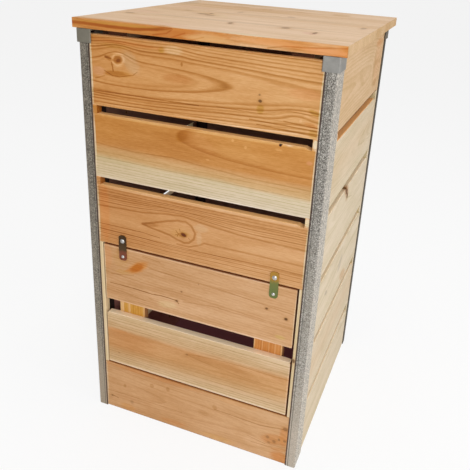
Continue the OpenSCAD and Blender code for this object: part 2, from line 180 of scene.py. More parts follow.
def growth_rings_group():
    """Distance from a pith that runs nearly along the board, so that its faces show tongues."""
    inputs = {"Point": "Vector"}
    inputs |= floats("Pith Across", "Pith Depth", "Pith Slope", "Pith Bend", "Wobble", "Seed")
    group, given, result = new_group("growth_rings", inputs, {"Radius": "Float"})
    seeds = dict.fromkeys(range(3), given["Seed"])
    shift = add_node(group, "ShaderNodeCombineXYZ", seeds).outputs[0]
    seeded = vector_math(group, "ADD", given["Point"], shift)
    sway = minus(group, stretched_noise(group, seeded, (210, 60, 60), 3.1, 1), 0.5)
    ripple = minus(group, stretched_noise(group, seeded, (42, 16, 22), 7.7, 1), 0.5)
    bent = times(group, calc(group, "MULTIPLY_ADD", ripple, 0.25, sway), given["Wobble"])
    along, across, inward = split(group, given["Point"])
    across = minus(group, across, given["Pith Across"])
    slope = calc(group, "MULTIPLY_ADD", along, given["Pith Bend"], given["Pith Slope"])
    depth = calc(group, "ADD", calc(group, "MULTIPLY_ADD", along, slope, given["Pith Depth"]), inward)
    radius = calc(group, "SQRT", square_sum(group, across, depth))
    group.links.new(calc(group, "ADD", radius, bent), result["Radius"])
    return group


SWELL_INPUTS = ("Along", "Across", "Reach Along", "Reach Across", "Lift")


def swell_group():
    """Rings pushed outwards round a knot, so that their lines flow round it."""
    inputs = {"Point": "Vector"} | floats("Radius", *SWELL_INPUTS)
    group, given, result = new_group("swell", inputs, {"Radius": "Float"})
    along, across, _ = split(group, given["Point"])
    along = calc(group, "DIVIDE", minus(group, along, given["Along"]), given["Reach Along"])
    across = calc(group, "DIVIDE", minus(group, across, given["Across"]), given["Reach Across"])
    fade = calc(group, "EXPONENT", times(group, square_sum(group, along, across), -1))
    group.links.new(calc(group, "MULTIPLY_ADD", fade, given["Lift"], given["Radius"]), result["Radius"])
    return group


def ring_tone_group():
    """Each ring darkens slowly to its late wood and ends at a sharp line, some rings more than others."""
    inputs = floats("Radius", "Ring Width", "Seed")
    group, given, result = new_group("ring_tone", inputs, {"Late": "Float"})
    field = calc(group, "DIVIDE", given["Radius"], given["Ring Width"])
    number = calc(group, "ADD", calc(group, "FLOOR", field), given["Seed"])
    chance = add_node(group, "ShaderNodeTexWhiteNoise", {"W": number}, noise_dimensions="1D").outputs[0]
    phase = calc(group, "FRACT", field)
    rise = calc(group, "POWER", ramp(group, phase, 0.1, 0.88), 1.7)
    drop = ramp(group, phase, 1, 0.9)
    strength = calc(group, "MULTIPLY_ADD", calc(group, "POWER", chance, 1.6), 0.8, 0.2)
    group.links.new(times(group, rise, drop, strength), result["Late"])
    return group


def fibre_group():
    """Fine streaks along the grain, short dark pores, a sawn weave and slow changes of tone."""
    outputs = floats("Streak", "Pore", "Tone", "Saw")
    group, given, result = new_group("fibre", {"Point": "Vector"}, outputs)
    fibres = {"Streak": ((46, 1.1, 1.1), 4.3, 3, 0.6), "Pore": ((9, 0.6, 0.6), 9.1, 1),
              "Tone": ((150, 24, 40), 5.9, 2), "Saw": ((14, 2.6, 3), 2.7, 2, 0.6)}
    for title, settings in fibres.items():
        noise = stretched_noise(group, given["Point"], *settings)
        if title == "Pore":
            noise = ramp(group, noise, 0.64, 0.78)
        group.links.new(noise, result[title])
    return group


def mark_group():
    """An oval mark with a soft, ragged edge: a stain, a pale place or a knot's heart."""
    inputs = {"Point": "Vector"} | floats("Along", "Across", "Length", "Height", "Tilt", "Soft", "Ragged")
    group, given, result = new_group("mark", inputs, {"Mask": "Float"})
    along, across, _ = split(group, given["Point"])
    along = minus(group, along, given["Along"])
    across = minus(group, across, given["Across"])
    across = minus(group, across, times(group, along, given["Tilt"]))
    along = calc(group, "DIVIDE", along, given["Length"])
    across = calc(group, "DIVIDE", across, given["Height"])
    share = calc(group, "SQRT", square_sum(group, along, across))
    torn = minus(group, stretched_noise(group, given["Point"], (8, 3, 3), 6.4, 3), 0.5)
    share = calc(group, "MULTIPLY_ADD", torn, given["Ragged"], share)
    outer = calc(group, "ADD", 1, given["Soft"])
    inner = minus(group, 1, given["Soft"])
    group.links.new(ramp(group, share, outer, inner), result["Mask"])
    return group


def stroke_group():
    """A thin line between two places: a crack, a scratch or a single dark fibre."""
    inputs = {"Point": "Vector", "From": "Vector", "To": "Vector"} | floats("Half Width")
    group, given, result = new_group("stroke", inputs, {"Mask": "Float"})
    flat = vector_math(group, "MULTIPLY", given["Point"], (1, 1, 0))
    torn = minus(group, stretched_noise(group, given["Point"], (12, 5, 5), 8.2, 2), 0.5)
    reach = vector_math(group, "SUBTRACT", given["To"], given["From"])
    start = vector_math(group, "SUBTRACT", flat, given["From"])
    met = vector_math(group, "DOT_PRODUCT", start, reach, give="Value")
    length = vector_math(group, "DOT_PRODUCT", reach, reach, give="Value")
    share = add_node(group, "ShaderNodeClamp", {0: calc(group, "DIVIDE", met, length)}).outputs[0]
    away = vector_math(group, "SUBTRACT", start, scale_vector(group, reach, share))
    away = vector_math(group, "LENGTH", away, give="Value")
    away = calc(group, "MULTIPLY_ADD", torn, 1.6, away)
    inner = times(group, given["Half Width"], 0.3)
    group.links.new(ramp(group, away, given["Half Width"], inner), result["Mask"])
    return group


GROWTH_RINGS = growth_rings_group()
SWELL = swell_group()
RING_TONE = ring_tone_group()
FIBRE = fibre_group()
MARK = mark_group()
STROKE = stroke_group()


def new_material(name, **constants):
    """A material with a Principled BSDF whose constant inputs are given, as (material, tree, shader)."""
    material = bpy.data.materials.new(name)
    material.use_nodes = True
    tree = material.node_tree
    shader = tree.nodes["Principled BSDF"]
    for title, value in constants.items():
        shader.inputs[title.replace("_", " ")].default_value = value
    return material, tree, shader


def object_point(tree, axes=("X", "Y", "Z")):
    """The place on the object in millimetres, as along, across and depth."""
    parts = split(tree, add_node(tree, "ShaderNodeTexCoord").outputs["Object"])
    turned = {number: parts[axis] for number, axis in enumerate(axes)}
    return scale_vector(tree, add_node(tree, "ShaderNodeCombineXYZ", turned).outputs[0], 1 / MM)


def normal(tree):
    """How far the face looks along X, Y and Z of its object."""
    return split(tree, add_node(tree, "ShaderNodeTexCoord").outputs["Normal"])


def surface(tree, shader, colour, roughness, relief, depth_mm, strength):
    """Joins a material's colour, roughness and relief to its shader."""
    tree.links.new(colour, shader.inputs["Base Color"])
    tree.links.new(roughness, shader.inputs["Roughness"])
    inputs = {"Height": relief, "Distance": depth_mm * MM, "Strength": strength}
    tree.links.new(add_node(tree, "ShaderNodeBump", inputs).outputs[0], shader.inputs["Normal"])


def end_grain(tree, axes):
    """1 on the sawn ends of a board, where its fibres meet the face."""
    return ramp(tree, calc(tree, "ABSOLUTE", normal(tree)[axes[0]]), 0.7, 0.9)


def mark(tree, point, along, across, length, height, tilt=0, soft=0.35, ragged=0.5):
    inputs = {"Point": point, "Along": along, "Across": across, "Length": length, "Height": height,
              "Tilt": tilt, "Soft": soft, "Ragged": ragged}
    return use_group(tree, MARK, inputs)["Mask"]


def line_ramp(tree, value, reach, lines):
    """Dark lines at the given places, each as (place, strength, width of its slow side)."""
    points = [(0, 0)]
    for place, strength, width in lines:
        points += [(max(place - width, points[-1][0]), 0), (place - 0.8, strength), (place + 0.5, 0)]
    return stops(tree, value, reach, points)


def stained(tree, point, colour, tints):
    """The colour with its tints laid over it, each in an oval place."""
    for *oval, shade, strength in tints:
        colour = blend(tree, times(tree, mark(tree, point, *oval), strength), colour, shade)
    return colour


def darkest_crack(tree, point, cracks):
    """How much the strongest crack at the point deepens the colour."""
    worst = 0
    for start, end, half_width, darkness in cracks:
        inputs = {"Point": point, "From": (*start, 0), "To": (*end, 0), "Half Width": half_width}
        worst = calc(tree, "MAXIMUM", worst, times(tree, use_group(tree, STROKE, inputs)["Mask"], darkness))
    return worst


def deepened(tree, colour, change, palest, lift):
    """The colour, darker and redder for a change above 1 and lighter for one below it."""
    inputs = {0: colour, 1: calc(tree, "MAXIMUM", change, palest)}
    colour = add_node(tree, "ShaderNodeGamma", inputs).outputs[0]
    light = blend(tree, ramp(tree, change, palest, DARKEST), lift, LATE_DIM)
    return blend(tree, 1, colour, light, "MULTIPLY")


def chain(points, half_width, darkness):
    """A crack that runs through a row of places."""
    return [(start, end, half_width, darkness) for start, end in zip(points, points[1:])]


# How far the borders of the shades wander and the fade reaches along a board, in millimetres
SHADE_SWAY = 14
FADE_REACH = 260
# How the fine grain changes the depth of colour, from its low values to its high ones
FIBRE_CHANGES = {"Tone": (0.07, -0.07), "Streak": (0.07, -0.06), "Saw": (0.05, -0.05)}
PORE_CHANGE = 0.12
END_GRAIN_CHANGE = 0.35
# A knot's halo, as its size against the heart's and its share of the heart's strength
HALO_REACH = 1.9
HALO_SHARE = 0.45


def wood(name, axes, shades, pith, depth, slope=0.03, bend=0, ring=4.5, wobble=6, contrast=0.35, rings=(),
         reach=100, tilt=0, fade=None, outer=None, swells=(), pins=(), tones=(), tints=(), cracks=(),
         faces=(), gloss=0.58, seed=0):
    """Sawn softwood, with every length in millimetres on the board's own axes.

    shades are (across, colour) from the lowest to the highest place. rings are (radius, strength,
    width) of rings that stand out. outer is the radius past which plain rings start, and None
    starts them at the pith. fade is the pair of tints for the two ends. A swell is (along, across,
    reach along, reach across, lift), a pin knot (along, across, length, height, strength), a tone
    (along, across, length, height, tilt, change), a tint (along, across, length, height, tilt,
    colour, strength) and a crack (from, to, half width, darkness). faces are (axis, sign, colour,
    strength) for sides of the board that get a colour of their own: painted light on slot faces,
    painted shade on faces in gaps, in shadow or inside the bin."""
    material, tree, shader = new_material(name, Specular_IOR_Level=0.3)
    point = object_point(tree, axes)
    inputs = {"Point": point, "Pith Across": pith, "Pith Depth": depth, "Pith Slope": slope,
              "Pith Bend": bend, "Wobble": wobble, "Seed": seed * 100}
    radius = use_group(tree, GROWTH_RINGS, inputs)["Radius"]
    for swell in swells:
        inputs = {"Point": point, "Radius": radius} | dict(zip(SWELL_INPUTS, swell))
        radius = use_group(tree, SWELL, inputs)["Radius"]
    late = use_group(tree, RING_TONE, {"Radius": radius, "Ring Width": ring, "Seed": seed})["Late"]
    if outer is not None:
        late = times(tree, late, ramp(tree, radius, outer - 2, outer + 6))
    if rings:
        late = calc(tree, "MAXIMUM", late, line_ramp(tree, radius, reach, rings))
    fibre = use_group(tree, FIBRE, {"Point": point})
    along, across, _ = split(tree, point)
    if len(shades) > 1:
        sway = calc(tree, "MULTIPLY_ADD", minus(tree, fibre["Tone"], 0.5), SHADE_SWAY, across)
        lowest, highest = shades[0][0], shades[-1][0]
        level = minus(tree, calc(tree, "MULTIPLY_ADD", along, -tilt, sway), lowest)
        points = [(place - lowest, shade) for place, shade in shades]
        colour = stops(tree, level, highest - lowest, points)
    else:
        colour = blend(tree, 0, shades[0][1], shades[0][1])
    if fade:
        ends = blend(tree, ramp(tree, along, -FADE_REACH, FADE_REACH), *fade)
        colour = blend(tree, 1, colour, ends, "MULTIPLY")
    colour = stained(tree, point, colour, tints)
    change = calc(tree, "MULTIPLY_ADD", late, contrast, 1)
    for *oval, amount in tones:
        change = calc(tree, "MULTIPLY_ADD", mark(tree, point, *oval), amount, change)
    change = calc(tree, "ADD", change, darkest_crack(tree, point, cracks))
    for title, (low, high) in FIBRE_CHANGES.items():
        change = calc(tree, "ADD", change, ramp(tree, fibre[title], 0.3, 0.7, low, high))
    change = calc(tree, "MULTIPLY_ADD", fibre["Pore"], PORE_CHANGE, change)
    change = calc(tree, "MULTIPLY_ADD", end_grain(tree, axes), END_GRAIN_CHANGE, change)
    colour = deepened(tree, colour, change, PALEST, EARLY_LIFT)
    for axis, sign, shade, strength in faces:
        turned = ramp(tree, times(tree, normal(tree)[axis], sign), 0.6, 0.8, 0, strength)
        colour = blend(tree, turned, colour, shade)
    for at, over, length, height, strength in pins:
        halo = mark(tree, point, at, over, length * HALO_REACH, height * HALO_REACH, 0, 0.5)
        colour = blend(tree, times(tree, halo, HALO_SHARE * strength), colour, KNOT_HALO)
        heart = mark(tree, point, at, over, length, height)
        colour = blend(tree, times(tree, heart, strength), colour, KNOT_BROWN)
    rough = ramp(tree, fibre["Streak"], 0.2, 0.8, gloss - 0.08, gloss + 0.1)
    relief = calc(tree, "MULTIPLY_ADD", late, 0.4, times(tree, fibre["Streak"], 0.5))
    relief = calc(tree, "MULTIPLY_ADD", fibre["Saw"], 0.5, relief)
    relief = calc(tree, "MULTIPLY_ADD", fibre["Pore"], -0.4, relief)
    surface(tree, shader, colour, rough, relief, 0.4, 0.6)
    return material


def dress(node, material):
    """Gives a CAD node its material."""
    piece = NODES[node]
    piece.data.materials.clear()
    piece.data.materials.append(material)


# The front boards, each with the knots, tongues and stains that it shows, and painted light and shade on
# its slot faces, ends and arrises

# Painted light on the slot floors, on the undersides over them and on the lower hatch board's top
SLOT_FACES_PAINTED_LIGHT = (("Z", 1, SLOT_PAINTED_LIGHT, 0.9), ("Z", -1, SLOT_PAINTED_LIGHT, 0.4))
HATCH_TOP_PAINTED_LIGHT = (("Z", 1, srgb(255, 232, 198), 0.95),)
# Painted shade on the top faces in the joints under board 3 and under the hatch, and on the hatch boards'
# ends in the gap beside them
TOP_PAINTED_SHADE = (("Z", 1, srgb(134, 72, 30), 0.95),)
END_PAINTED_SHADE = (("X", 1, srgb(112, 56, 22), 0.95),)


def lit_ends(low, high):
    """Pale arrises at the two ends of a front board, beside the posts."""
    middle, reach = (low + high) / 2, (high - low) / 2
    return tuple((side * 248.8, middle, 2, reach, 0, CREAM, 0.75) for side in (-1, 1))


def top_board_wood():
    """Orange heartwood with a long tongue, a large knot with a pale rim and a resin patch."""
    rings = (
        (21.9, 0.25, 5), (29.3, 0.8, 4.4), (45, 0.6, 5), (51.5, 1, 4), (56.5, 0.5, 3), (62, 0.9, 3.5),
    )
    swells = (
        (-186, 930, 32, 25, -20), (205, 866, 36, 14, 7), (-55, 960, 36, 14, -4),
    )
    tones = (
        (-184, 928, 15, 14, 0.1, -0.4), (-184, 928, 11, 8.4, 0.1, 0.85), (-183, 926.5, 5, 3.6, 0.2, 0.5),
        # The tones at (-70, 829) and (160, 829) are painted highlights along the lower arris
        (-206, 929, 10, 4.6, -0.3, 0.28), (-189, 899, 26, 5, 0.03, 0.3), (-70, 829, 190, 3.6, 0, -0.2),
        (160, 829, 120, 3.6, 0, -0.25), (-48, 905.5, 30, 8, 0, 0.1), (-57, 959, 20, 8, 0, -0.08),
        (224, 866, 6, 4, 0, -0.12), (213, 857, 3, 3, 0, -0.15), (-38, 935, 2.6, 4, 0, 0.4),
        (-215, 962, 44, 9, -0.08, 0.12), (60, 905, 14, 8, 0, 0.12),
    )
    tints = (
        (-184, 899, 34, 7, 0, srgb(194, 130, 50), 0.6), (-83, 958, 6.5, 6, 0, RESIN_YELLOW, 0.75),
        (-57, 960, 20, 9, 0, FIBRE_PALE, 0.35), (131, 869, 7.5, 9, 0, RESIN_YELLOW, 0.8),
        (219, 909, 34, 11, 0, srgb(218, 156, 102), 0.5), (239, 876, 12, 5, -0.3, RESIN_YELLOW, 0.75),
        (234, 852, 14, 4, -0.2, srgb(206, 140, 72), 0.6), (240, 836, 9, 9, 0, RESIN_YELLOW, 0.6),
        (-154, 926, 20, 19, -0.5, srgb(206, 166, 122), 0.5), (-190, 955, 34, 5, 0, RESIN_YELLOW, 0.35),
        (-48, 905.5, 32, 9, 0, srgb(200, 134, 72), 0.5), (-232, 900, 16, 9, 0, srgb(208, 150, 106), 0.5),
        (-165, 963, 80, 4, -0.03, srgb(202, 128, 58), 0.5), *lit_ends(826, 972),
    )
    cracks = (
        ((-199, 921), (-196, 904), 2.4, 0.5), ((-240, 884), (-218, 891), 1.8, 0.3),
        ((-214, 931), (-201, 928.5), 2.6, 0.5), ((-250, 857.5), (0, 857.5), 1.8, 0.5),
        *chain(((40, 861), (130, 860), (189, 873), (250, 871)), 1.3, 0.35),
        ((126, 838), (246, 832), 1.8, 0.5), ((110, 846), (246, 842), 1.8, 0.5),
        ((180, 852), (246, 848), 1.6, 0.5), ((-250, 848), (240, 852), 1.2, 0.25),
        ((-250, 833), (250, 836), 1.2, 0.3), *chain(((-217, 902.5), (-199, 894), (-181, 893)), 1.2, 0.5),
        ((-181, 893), (-149, 900), 1.2, 0.45), ((-149, 900), (-139, 908), 1.1, 0.4),
    )
    return wood(
        "wood_front_top", FRONT_GRAIN, ((870, srgb(210, 152, 92)),), 902, 323.06, 0.1113, -0.000159, 5.3,
        5, 0.62, rings, 110, fade=((0.93, 0.88, 0.76), (1.05, 1.16, 1.36)), outer=64, swells=swells,
        pins=((130, 884.5, 3.6, 3.2, 0.85), (128, 896.6, 2, 1.8, 0.5)), tones=tones, tints=tints,
        cracks=cracks, faces=SLOT_FACES_PAINTED_LIGHT, gloss=0.52, seed=1,
    )


def second_board_wood():
    """Deep orange above, tan in the middle and pale sapwood with fine grey lines along its lower edge."""
    shades = (
        (655, srgb(218, 198, 168)), (676, srgb(211, 190, 158)), (699, srgb(212, 190, 154)),
        (710, srgb(205, 164, 112)), (724, srgb(204, 158, 104)), (738, srgb(196, 134, 68)),
        (812, srgb(196, 132, 60)),
    )
    rings = ((33, 0.1, 7), (44.1, 0.8, 7), (52, 0.12, 5))
    tones = (
        (77, 797, 3, 3, 0, -0.18), (105, 787, 3, 3.4, 0, -0.18), (174, 794, 8, 2.4, 0, -0.15),
        # The tones at 661.5 and 804.6 are painted highlights along the arrises
        (23, 747, 4, 2, 0, -0.15), (0, 661.5, 262, 2.4, 0, -0.25), (0, 804.6, 262, 3, 0, -0.25),
        (60, 775, 110, 20, -0.12, -0.04), (-45, 790, 26, 20, 0.3, 0.06),
    )
    tints = (
        (238, 777, 6, 4, 0, srgb(220, 156, 112), 0.5), (-36, 788, 13, 11, 0.3, srgb(188, 122, 26), 0.75),
        (0, 780, 40, 20, -0.3, srgb(196, 132, 70), 0.4), (-235, 775, 70, 26, 0, srgb(192, 126, 52), 0.4),
        (194, 810, 12, 5, 0, CREAM, 0.6), (246.5, 816, 6, 10, 0, CREAM, 0.9), *lit_ends(662, 803),
    )
    lines = ((706, 0.3), (697, 0.2), (690, 0.32), (683, 0.2), (678, 0.28), (672, 0.22), (667, 0.2))
    cracks = [((-252, z + 3), (252, z - 5.5), 1.1, darkness) for z, darkness in lines]
    cracks += chain(((-252, 741), (-150, 734), (-60, 737)), 2.2, 0.18)
    cracks += [((-60, 737), (110, 723), 2.2, 0.2), ((110, 723), (250, 720), 2, 0.2),
               ((177, 804), (181.5, 814), 3.4, 6), ((-252, 722), (250, 712), 1.6, 0.12)]
    return wood(
        "wood_front_second", FRONT_GRAIN, shades, 788, 336.85, -0.16, 0, 6.5, 4, 0.36, rings, 110, -0.026,
        ((0.95, 0.92, 0.85), (1.03, 1.07, 1.16)), outer=300, tones=tones, tints=tints, cracks=cracks,
        faces=SLOT_FACES_PAINTED_LIGHT, gloss=0.52, seed=2,
    )


def third_board_wood():
    """Close, dark rings that flow round a teardrop with a dark knot in its wide end."""
    swells = ((-40, 572, 72, 38, -22), (60, 545, 60, 16, -3))
    tones = (
        # The tones at 639.5 and 497.5 are painted highlights along the arrises
        (-31, 561, 10, 6.6, 0.1, 0.45), (-30, 561.5, 6, 4, -0.2, 1.3), (0, 639.5, 262, 3, 0, -0.28),
        (0, 497.5, 262, 2.6, 0, -0.2), (0, 620, 250, 14, 0, 0.06), (-115, 568, 22, 5, 0.1, 0.25),
    )
    tints = (
        (-38, 563, 24, 10, 0.1, RESIN_YELLOW, 0.35), (-232, 575, 12, 76, 0, srgb(212, 132, 62), 0.4),
        (12, 586, 16, 9, 0, srgb(210, 168, 124), 0.5), (8, 560, 6, 18, 0, srgb(210, 168, 124), 0.45),
        (-70, 572, 44, 14, 0.12, srgb(200, 142, 84), 0.4), (246.5, 651, 6, 10, 0, CREAM, 0.9),
        *lit_ends(498, 640),
    )
    outline = ((-134, 566), (-105, 575), (-75, 585), (-46, 593), (-25, 594), (-11, 587), (-2, 571),
               (-5, 556), (-17, 544), (-28, 542), (-46, 546), (-64, 553), (-87, 557), (-120, 562),
               (-134, 566))
    around = ((-46, 535), (-17, 534), (7, 544), (21, 552), (120, 552), (250, 551))
    above = ((-250, 590), (-134, 594), (-75, 603), (-31, 606), (27, 598), (101, 591), (250, 588))
    cracks = chain(outline, 3.6, 0.36) + chain(around, 2.8, 0.28) + chain(above, 3.2, 0.34)
    # Painted shadow: a dark line along the lower edge, in the gap above the hatch
    cracks += [((-236, 495.2), (238, 495.2), 1.2, 1.6)]
    lines = ((618, 0.35), (628, 0.4), (634, 0.35), (529.5, 0.35))
    cracks += [((-250, z), (250, z - 1.5), 1.3, darkness) for z, darkness in lines]
    cracks += chain(((-250, 544), (-134, 544), (-90, 540)), 1.4, 0.5)
    splits = ((-49, 568, 5, -7), (-46, 554, 4, 8), (-40, 574, 1, -6), (-42, 560, -8, -3), (-18, 556, 4, -4))
    cracks += [((x, z), (x + dx, z + dz), 1.2, 0.5) for x, z, dx, dz in splits]
    return wood(
        "wood_front_third", FRONT_GRAIN, ((560, srgb(206, 150, 96)),), 566, 336, 0, 0, 3.9, 4, 0.55,
        fade=((0.92, 0.86, 0.74), (1.04, 1.12, 1.25)), outer=44, swells=swells, tones=tones, tints=tints,
        cracks=cracks, faces=SLOT_FACES_PAINTED_LIGHT, gloss=0.52, seed=3,
    )


def hatch_upper_wood():
    pins = ((-34, 413.5, 2.6, 2.2, 0.55), (174, 427.5, 3.4, 2.6, 0.9), (220, 413, 3.8, 3.2, 0.95),
            (-46.5, 385, 3.4, 2.6, 0.8), (9, 445, 1.6, 2, 0.3))
    tints = ((-149, 448, 26, 14, 0.55, srgb(206, 136, 62), 0.8),
             (-172, 435, 14, 3.4, 0.45, RESIN_ORANGE, 0.6),
             (-151, 446.5, 17, 10, 0.5, srgb(186, 104, 14), 0.95),
             (-190, 426, 20, 6, 0.1, RESIN_YELLOW, 0.35), (0, 491.4, 242, 1.4, 0, GAP_SHADOW, 0.7),
             # The cream strips at -238.6 and 238.4 are painted highlights on the end arrises
             (-231, 460, 12, 30, 0, srgb(210, 140, 84), 0.35), (-238.6, 415, 1.6, 75, 0, CREAM, 0.5),
             (238.4, 415, 1.4, 75, 0, CREAM, 0.5), (-70, 368, 24, 9, 0.1, srgb(212, 178, 128), 0.6),
             (210, 362, 12, 5, 0, srgb(206, 178, 96), 0.4), (-195, 460, 20, 22, 0, RESIN_YELLOW, 0.2))
    # The tones at 343 and 488.5 are painted highlights along the arrises
    tones = ((-188, 480, 16, 26, 0, 0.14), (0, 343, 250, 2.6, 0, -0.3), (0, 375, 180, 20, 0, -0.08),
             (0, 488.5, 240, 2.4, 0, -0.2))
    cracks = (((-226, 388), (-163, 388), 1.6, 0.6), ((-163, 388), (-112, 385.5), 1.7, 0.8),
              ((-112, 385.5), (-86, 388), 1.6, 0.7), ((-86, 388), (-46, 386), 1.7, 0.9),
              ((-45, 384), (-41, 378), 1.4, 0.7), ((-135, 482), (-90, 477), 1.5, 0.25),
              ((-118, 453), (50, 447), 1.5, 0.22), ((50, 447), (240, 428), 1.6, 0.25),
              ((-222, 413), (-160, 424), 1.5, 0.25), ((60, 395), (240, 390), 1.5, 0.2),
              ((-30, 388), (60, 397), 1.5, 0.2), ((-210, 372), (-130, 362), 1.4, 0.25),
              ((-120, 372), (-80, 366), 1.4, 0.2), ((-150, 352), (-90, 346), 1.3, 0.2))
    return wood(
        "wood_hatch_upper", FRONT_GRAIN, ((420, srgb(205, 157, 110)),), 650, 380, -0.15, 0, 6.5, 12, 0.2,
        fade=((0.94, 0.91, 0.87), (1.03, 1.06, 1.13)), swells=((-150, 446, 34, 18, 6),), pins=pins,
        # Painted shade on its top face and on its end
        tints=tints, tones=tones, cracks=cracks, faces=TOP_PAINTED_SHADE + END_PAINTED_SHADE, seed=4,
    )


def hatch_lower_wood():
    """An orange middle between two pale bands, with a tongue that opens to the right."""
    shades = ((150, srgb(214, 182, 142)), (172, srgb(208, 172, 132)), (190, srgb(202, 158, 110)),
              (207, srgb(200, 149, 96)), (250, srgb(201, 147, 94)), (263, srgb(207, 169, 127)),
              (300, srgb(213, 182, 143)))
    tongue = ((-20, 241), (12, 246), (60, 251), (120, 253), (190, 251), (240, 252))
    under = ((-20, 241), (20, 233), (60, 228), (120, 223), (240, 219))
    cracks = chain(tongue, 2.2, 0.2) + chain(under, 2.4, 0.12)
    lines = ((288, 0, 0.4), (280, 1, 0.25), (271, -2, 0.3), (264, 2, 0.25), (185, -2, 0.25),
             (174, -3, 0.3), (166, -1, 0.35), (161, -4, 0.3))
    cracks += [((-240, z), (240, z + rise), 1.1, darkness) for z, rise, darkness in lines]
    return wood(
        "wood_hatch_lower", FRONT_GRAIN, shades, 236, 338, 0.02, 0, 5.2, 7, 0.16, tilt=0.01,
        fade=((0.97, 0.95, 0.9), (1.03, 1.07, 1.12)),
        pins=((-18, 240, 4, 2.6, 0.35), (-210, 184, 2.6, 1.6, 0.4)),
        tints=((-190, 225, 90, 26, 0, srgb(200, 140, 84), 0.5), (-215, 252, 30, 5, 0, RESIN_ORANGE, 0.3)),
        # The tones at 153 and at its right end are painted highlights along the arrises
        tones=((60, 240, 80, 9, -0.02, 0.14), (0, 153, 250, 2.6, 0, -0.3), (237.5, 225, 2, 70, 0, -0.2)),
        # Painted light on its top face and painted shade on its end
        cracks=cracks, faces=HATCH_TOP_PAINTED_LIGHT + END_PAINTED_SHADE, seed=5,
    )


def bottom_board_wood():
    pins = ((243, 108, 6, 5, 0.45), (201, 68, 4.4, 4.4, 0.4), (218, 60, 4.4, 4.2, 0.4),
            (205, 52, 4, 3, 0.3), (230, 70, 3, 4, 0.4), (244, 71, 4, 3.6, 0.4), (-236, 36, 3.4, 2.6, 0.5),
            (-176, 35, 5, 5, 0.25))
    tints = ((216, 66, 30, 16, 0.2, srgb(198, 130, 64), 0.6),
             (238, 16, 26, 16, 0, srgb(200, 124, 52), 0.7), (242, 84, 12, 30, 0, RESIN_ORANGE, 0.55),
             (-190, 15, 22, 9, 0, srgb(206, 146, 78), 0.5), (-55, 14, 34, 7, 0, srgb(210, 144, 84), 0.4),
             (70, 12, 46, 7, 0, srgb(206, 156, 84), 0.4), (-110, 140, 140, 6, 0, srgb(200, 132, 70), 0.5),
             (110, 138, 60, 6, 0, srgb(206, 146, 84), 0.4), (232, 40, 22, 5, 0.2, srgb(204, 134, 66), 0.4),
             # The cream strip at -248.6 is a painted highlight on the end arris
             (-248.6, 74, 2, 72, 0, CREAM, 0.5))
    tones = ((-196, 82, 4, 5, 0, 0.25), (-116, 110, 6, 6, 0, 0.2), (-70, 115, 5, 7, 0, 0.22),
             (60, 106, 6, 7, 0, 0.2), (30, 76, 14, 8, 0, 0.1), (168, 42, 30, 14, 0.1, -0.12),
             # The dark line along the top edge at 146 is painted shade in the joint under the hatch
             (0, 146, 262, 2, 0, 0.5), (0, 1, 262, 2, 0, 0.4))
    cracks = (((60, 100), (180, 96), 1.5, 0.4), ((180, 96), (238, 106), 1.5, 0.45),
              ((150, 52), (196, 44), 1.2, 0.4), ((160, 36), (214, 40), 1.2, 0.35),
              ((-236, 38), (-218, 34), 1.3, 0.6), ((-250, 52), (-30, 55), 1.2, 0.25))
    swells = ((222, 66, 46, 26, -12), (240, 108, 30, 14, -6), (150, 112, 60, 14, 5))
    return wood(
        "wood_front_bottom", FRONT_GRAIN, ((70, srgb(205, 156, 108)),), 74, 346, 0.04, 0, 5.4, 10, 0.13,
        fade=((0.97, 0.96, 0.94), (1.04, 1.1, 1.2)), swells=swells, pins=pins, tints=tints, tones=tones,
        # Painted shade on its top face, in the joint under the hatch
        cracks=cracks, faces=TOP_PAINTED_SHADE, seed=6,
    )


# Pale streaks down the hatch battens, as (place, half width, strength)
BATTEN_STREAKS = {
    "left": ((-207.5, 6, 0.75), (-187, 3.5, 0.7), (-145, 3, 0.7)),
    "right": ((144, 2.4, 0.8), (211.5, 2.4, 0.8), (165, 1.6, 0.35), (180, 1.6, 0.35), (196, 1.4, 0.3)),
}
STREAK_PALE = srgb(230, 190, 138)
BATTEN_GOLD = {"left": srgb(206, 150, 62), "right": srgb(210, 142, 76)}


def dress_front():
    looks = {
        "front_board_top": top_board_wood,
        "front_board_second": second_board_wood,
        "front_board_third": third_board_wood,
        "front_board_bottom": bottom_board_wood,
        "hatch_board_upper": hatch_upper_wood,
        "hatch_board_lower": hatch_lower_wood,
    }
    for node, make in looks.items():
        dress(node, make())
    stile = wood("wood_stile", UPRIGHT_GRAIN, ((0, srgb(226, 202, 164)),), 300, 330, 0.02, 0, 3.5, 5, 0.3,
                 pins=((309, 246, 5, 3, 0.8),), seed=7)
    for side, middle in (("left", -178), ("right", 178)):
        dress("stile_" + side, stile)
        tints = [(327, place, 170, width, 0, STREAK_PALE, strength)
                 for place, width, strength in BATTEN_STREAKS[side]]
        # The batten's +X side face gets a darker colour: painted shade
        batten = wood("wood_hatch_batten_" + side, UPRIGHT_GRAIN, ((0, BATTEN_GOLD[side]),), middle + 60,
                      322, 0.02, 0, 5, 4, 0.3, tints=tints, faces=(("X", 1, srgb(176, 112, 66), 0.8),),
                      seed=8 + middle)
        dress("hatch_batten_" + side, batten)


# The side and back walls

# Painted shade on the inner faces of the walls, darker on the lower boards
INNER_FACES = {"right": ("X", -1), "left": ("X", 1), "back": ("Y", -1)}
INSIDE_SHADE_STRENGTH = 0.85
INSIDE_PAINTED_SHADE_LOW = srgb(176, 100, 92)


def plain_knots(chance, low, high, along_reach):
    """Pin knots at seeded places, and the swells of the grain round them."""
    pins, swells = [], []
    for _ in range(chance.randint(1, 3)):
        size = chance.uniform(2.2, 5.5)
        along, across = chance.uniform(-along_reach, along_reach), chance.uniform(low + 24, high - 24)
        pins.append((along, across, size * 1.2, size, chance.uniform(0.35, 0.85)))
        swells.append((along, across, size * 6, size * 3, chance.choice((-1, 1)) * size))
    return pins, swells


